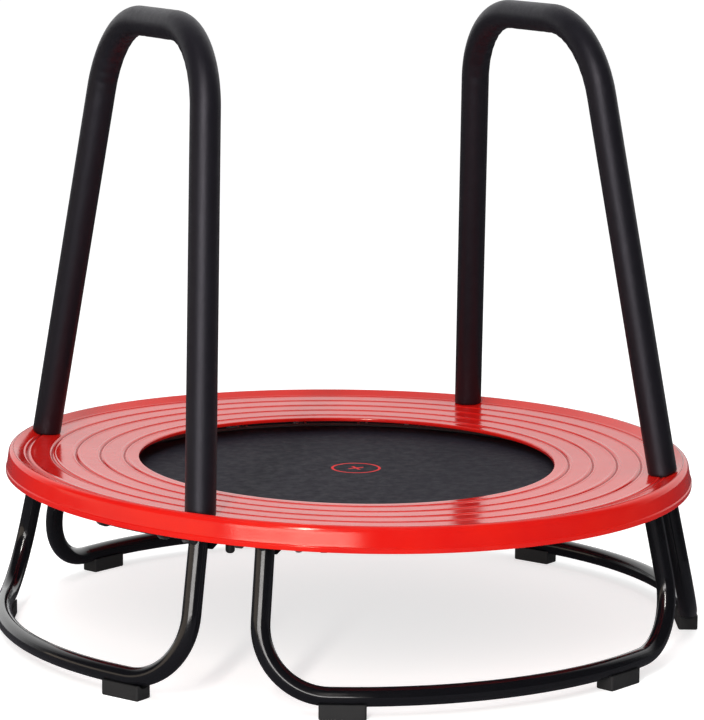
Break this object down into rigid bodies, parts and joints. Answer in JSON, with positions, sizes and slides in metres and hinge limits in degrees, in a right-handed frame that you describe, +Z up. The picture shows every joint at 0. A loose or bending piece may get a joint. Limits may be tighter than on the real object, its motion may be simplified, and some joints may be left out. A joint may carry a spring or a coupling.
{
  "type": "mini trampoline",
  "caption": "Low round mini trampoline: sprung woven mat inside a moulded ring cover, bent-tube looped legs with rubber feet and two tall foam-covered hoop handles.",
  "frame": {"origin": "on the floor, under the centre of the round frame", "axes": "+Z up; the two handle hoops stand over +X and -X; one leg faces each of -Y, +X, +Y and -X"},
  "size_m": [0.944, 0.944, 0.8292],
  "materials": {
    "cover_plastic": "glossy moulded red plastic",
    "black_steel": "gloss black powder coat",
    "bare_steel": "zinc plated",
    "foot_rubber": "matt moulded rubber",
    "black_plastic": "satin moulded plastic",
    "grip_foam": "matt closed-cell foam skin",
    "mat_fabric": "woven polypropylene",
    "hem_webbing": "sewn webbing",
    "strap_elastic": "woven elastic",
    "black_bolt": "black oxide"
  },
  "bodies": {
    "frame": {"cover_ring": "cover_plastic", "frame_ring_front": "black_steel", "frame_ring_right": "black_steel", "frame_ring_back": "black_steel", "frame_ring_left": "black_steel", "ring_sleeve_front": "bare_steel", "ring_sleeve_right": "bare_steel", "ring_sleeve_back": "bare_steel", "ring_sleeve_left": "bare_steel", "leg_front": "black_steel", "leg_right": "black_steel", "leg_back": "black_steel", "leg_left": "black_steel", "leg_plates": "black_steel", "foot_front_a": "foot_rubber", "foot_front_b": "foot_rubber", "foot_right_a": "foot_rubber", "foot_right_b": "foot_rubber", "foot_back_a": "foot_rubber", "foot_back_b": "foot_rubber", "foot_left_a": "foot_rubber", "foot_left_b": "foot_rubber", "foot_screws": "bare_steel", "leg_plugs": "black_plastic", "handle_tube_right": "black_steel", "handle_tube_left": "black_steel", "foam_grip_right": "grip_foam", "foam_grip_left": "grip_foam", "elastic_straps": "strap_elastic", "leg_bolts": "black_bolt", "leg_nuts": "bare_steel", "joint_bolts": "black_bolt", "joint_caps": "black_plastic", "cover_screws": "bare_steel"},
    "mat": {"mat": "mat_fabric", "mat_hem": "hem_webbing", "mat_links": "bare_steel"}
  },
  "joints": [
    {"name": "mat_bounce", "type": "slide", "parent": "frame", "child": "mat", "axis": [0, 0, -1], "range_m": [0, 0.07], "stiffness_N_per_m": 8000, "springref_m": -0.002, "deforming": ["elastic_straps"]}
  ]
}
